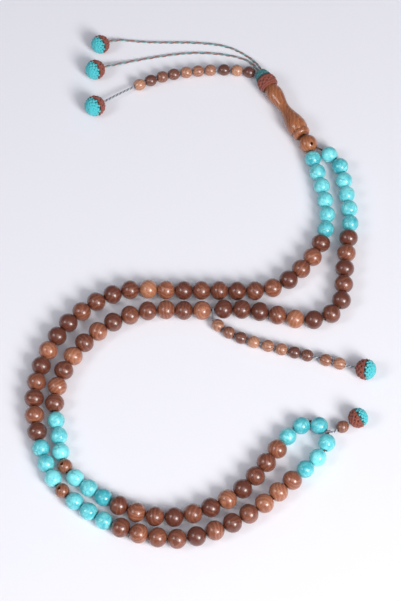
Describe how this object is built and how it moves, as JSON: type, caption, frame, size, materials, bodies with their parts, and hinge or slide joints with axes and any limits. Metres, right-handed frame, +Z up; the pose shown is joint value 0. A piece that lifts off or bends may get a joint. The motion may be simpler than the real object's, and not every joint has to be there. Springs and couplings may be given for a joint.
{
  "type": "prayer beads",
  "caption": "Misbaha prayer beads of brown wood and turquoise stone on a loop of cord, with a turned wooden leader, knotted tails and counters of small sliding beads.",
  "frame": {"origin": "middle of the laid-out string seen from above, on the surface that it lies on", "axes": "+Z up from the surface, +Y along the laid-out string towards its knotted tails, +X to the right when seen from above with +Y away"},
  "size_m": [0.1513, 0.2564, 0.01],
  "materials": {
    "bead_wood": "polished",
    "turquoise": "polished",
    "separator_wood": "polished",
    "leader_wood": "polished",
    "counter_wood": "polished",
    "core_wood": "matte",
    "string": "matte",
    "brown_knots": "matte",
    "turquoise_knots": "matte",
    "tail_cord": "matte",
    "counter_thread": "matte"
  },
  "bodies": {
    "loop": {"inner_separator": "separator_wood", "inner_turquoise_beads": "turquoise", "inner_wood_beads": "bead_wood", "leader_bead": "leader_wood", "main_cord": "string", "middle_inner_turquoise_beads": "turquoise", "middle_inner_wood_beads": "bead_wood", "middle_outer_turquoise_beads": "turquoise", "middle_outer_wood_beads": "bead_wood", "outer_separator": "separator_wood", "outer_turquoise_beads": "turquoise", "outer_wood_beads": "bead_wood", "second_counter_tie": "counter_thread", "tassel_tie": "counter_thread"},
    "leader": {"imame": "leader_wood", "leader_cord": "string", "brown_collar": "brown_knots", "turquoise_collar": "turquoise_knots", "collar_knot": "string"},
    "tails": {"inner_tail_cord": "tail_cord", "inner_tail_ball_core": "core_wood", "inner_tail_ball_brown_half": "brown_knots", "inner_tail_ball_turquoise_half": "turquoise_knots"},
    "outer_tail": {"outer_tail_cord": "tail_cord", "outer_tail_ball_core": "core_wood", "outer_tail_ball_brown_half": "brown_knots", "outer_tail_ball_turquoise_half": "turquoise_knots"},
    "top_counter": {"top_counter_thread": "counter_thread", "top_counter_ball_core": "core_wood", "top_counter_ball_brown_half": "brown_knots", "top_counter_ball_turquoise_half": "turquoise_knots"},
    "second_counter": {"second_counter_thread": "counter_thread", "second_counter_ball_core": "core_wood", "second_counter_ball_brown_half": "brown_knots", "second_counter_ball_turquoise_half": "turquoise_knots"},
    "tassel": {"tassel_thread": "counter_thread", "tassel_ball_core": "core_wood", "tassel_ball_brown_half": "brown_knots", "tassel_ball_turquoise_half": "turquoise_knots"},
    "top_counter_bead_1": {"top_counter_bead_1": "counter_wood"},
    "top_counter_bead_2": {"top_counter_bead_2": "counter_wood"},
    "top_counter_bead_3": {"top_counter_bead_3": "counter_wood"},
    "top_counter_bead_4": {"top_counter_bead_4": "counter_wood"},
    "top_counter_bead_5": {"top_counter_bead_5": "counter_wood"},
    "top_counter_bead_6": {"top_counter_bead_6": "counter_wood"},
    "top_counter_bead_7": {"top_counter_bead_7": "counter_wood"},
    "top_counter_bead_8": {"top_counter_bead_8": "counter_wood"},
    "top_counter_bead_9": {"top_counter_bead_9": "counter_wood"},
    "top_counter_bead_10": {"top_counter_bead_10": "counter_wood"},
    "second_counter_bead_1": {"second_counter_bead_1": "counter_wood"},
    "second_counter_bead_2": {"second_counter_bead_2": "counter_wood"},
    "second_counter_bead_3": {"second_counter_bead_3": "counter_wood"},
    "second_counter_bead_4": {"second_counter_bead_4": "counter_wood"},
    "second_counter_bead_5": {"second_counter_bead_5": "counter_wood"},
    "second_counter_bead_6": {"second_counter_bead_6": "counter_wood"},
    "second_counter_bead_7": {"second_counter_bead_7": "counter_wood"},
    "second_counter_bead_8": {"second_counter_bead_8": "counter_wood"},
    "second_counter_bead_9": {"second_counter_bead_9": "counter_wood"},
    "second_counter_bead_10": {"second_counter_bead_10": "counter_wood"},
    "tassel_bead": {"tassel_bead": "counter_wood"}
  },
  "joints": [
    {"name": "leader_swing", "type": "hinge", "parent": "loop", "child": "leader", "pos_m": [0.04614, 0.07319, 0.0047], "axis": [0, 0, 1], "range_deg": [-15, 15]},
    {"name": "tails_swing", "type": "hinge", "parent": "leader", "child": "tails", "pos_m": [0.0266, 0.1085, 0.0043], "axis": [0, 0, 1], "range_deg": [-20, 1.5]},
    {"name": "outer_tail_swing", "type": "hinge", "parent": "tails", "child": "outer_tail", "pos_m": [0.0277, 0.1091, 0.0043], "axis": [0, 0, 1], "range_deg": [-12, 0]},
    {"name": "top_counter_swing", "type": "hinge", "parent": "leader", "child": "top_counter", "pos_m": [0.0251, 0.1078, 0.0033], "axis": [0, 0, 1], "range_deg": [-2, 30]},
    {"name": "second_counter_swing", "type": "hinge", "parent": "loop", "child": "second_counter", "pos_m": [0.0049, -0.0204, 0.003], "axis": [0, 0, 1], "range_deg": [-8, 8]},
    {"name": "tassel_swing", "type": "hinge", "parent": "loop", "child": "tassel", "pos_m": [0.0562, -0.0738, 0.0032], "axis": [0, 0, 1], "range_deg": [-20, 10]},
    {"name": "top_counter_bead_1_slide", "type": "slide", "parent": "top_counter", "child": "top_counter_bead_1", "axis": [-0.9361, 0.3416, -0.0838], "range_m": [0, 0.00023]},
    {"name": "top_counter_bead_2_slide", "type": "slide", "parent": "top_counter", "child": "top_counter_bead_2", "axis": [-0.9973, 0.0724, -0.008], "range_m": [0, 0.00071]},
    {"name": "top_counter_bead_3_slide", "type": "slide", "parent": "top_counter", "child": "top_counter_bead_3", "axis": [-0.9998, 0.0177, -0.0054], "range_m": [0, 0.00105]},
    {"name": "top_counter_bead_4_slide", "type": "slide", "parent": "top_counter", "child": "top_counter_bead_4", "axis": [-0.9974, -0.0727, -0.001], "range_m": [0, 0.00033]},
    {"name": "top_counter_bead_5_slide", "type": "slide", "parent": "top_counter", "child": "top_counter_bead_5", "axis": [-0.9945, -0.1048, 0], "range_m": [0, 0.00031]},
    {"name": "top_counter_bead_6_slide", "type": "slide", "parent": "top_counter", "child": "top_counter_bead_6", "axis": [-0.9875, -0.1577, 0], "range_m": [0, 0.0005]},
    {"name": "top_counter_bead_7_slide", "type": "slide", "parent": "top_counter", "child": "top_counter_bead_7", "axis": [-0.9787, -0.2051, 0], "range_m": [0, 0.00014]},
    {"name": "top_counter_bead_8_slide", "type": "slide", "parent": "top_counter", "child": "top_counter_bead_8", "axis": [-0.9513, -0.3081, 0], "range_m": [0, 0.00035]},
    {"name": "top_counter_bead_9_slide", "type": "slide", "parent": "top_counter", "child": "top_counter_bead_9", "axis": [-0.9171, -0.3987, 0], "range_m": [0, 0.00041]},
    {"name": "top_counter_bead_10_slide", "type": "slide", "parent": "top_counter", "child": "top_counter_bead_10", "axis": [-0.8748, -0.4844, 0.0106], "range_m": [0, 0.01225]},
    {"name": "second_counter_bead_1_slide", "type": "slide", "parent": "second_counter", "child": "second_counter_bead_1", "axis": [0.6952, -0.7172, -0.0489], "range_m": [0, 0.0003]},
    {"name": "second_counter_bead_2_slide", "type": "slide", "parent": "second_counter", "child": "second_counter_bead_2", "axis": [0.8829, -0.4696, 0], "range_m": [0, 0.00046]},
    {"name": "second_counter_bead_3_slide", "type": "slide", "parent": "second_counter", "child": "second_counter_bead_3", "axis": [0.9185, -0.3954, 0], "range_m": [0, 0.00053]},
    {"name": "second_counter_bead_4_slide", "type": "slide", "parent": "second_counter", "child": "second_counter_bead_4", "axis": [0.9586, -0.2847, 0], "range_m": [0, 0.00115]},
    {"name": "second_counter_bead_5_slide", "type": "slide", "parent": "second_counter", "child": "second_counter_bead_5", "axis": [0.9599, -0.2803, 0], "range_m": [0, 0.00086]},
    {"name": "second_counter_bead_6_slide", "type": "slide", "parent": "second_counter", "child": "second_counter_bead_6", "axis": [0.9635, -0.2677, 0], "range_m": [0, 0.00056]},
    {"name": "second_counter_bead_7_slide", "type": "slide", "parent": "second_counter", "child": "second_counter_bead_7", "axis": [0.9668, -0.2554, 0], "range_m": [0, 0.00036]},
    {"name": "second_counter_bead_8_slide", "type": "slide", "parent": "second_counter", "child": "second_counter_bead_8", "axis": [0.9638, -0.2663, 0.0127], "range_m": [0, 0.00312]},
    {"name": "second_counter_bead_9_slide", "type": "slide", "parent": "second_counter", "child": "second_counter_bead_9", "axis": [0.9551, -0.294, 0.0376], "range_m": [0, 0.00084]},
    {"name": "second_counter_bead_10_slide", "type": "slide", "parent": "second_counter", "child": "second_counter_bead_10", "axis": [0.9491, -0.3105, 0.0527], "range_m": [0, 0.00425]},
    {"name": "tassel_bead_slide", "type": "slide", "parent": "tassel", "child": "tassel_bead", "axis": [0.8569, 0.5127, 0.0536], "range_m": [-0.0008, 0.0005]}
  ]
}
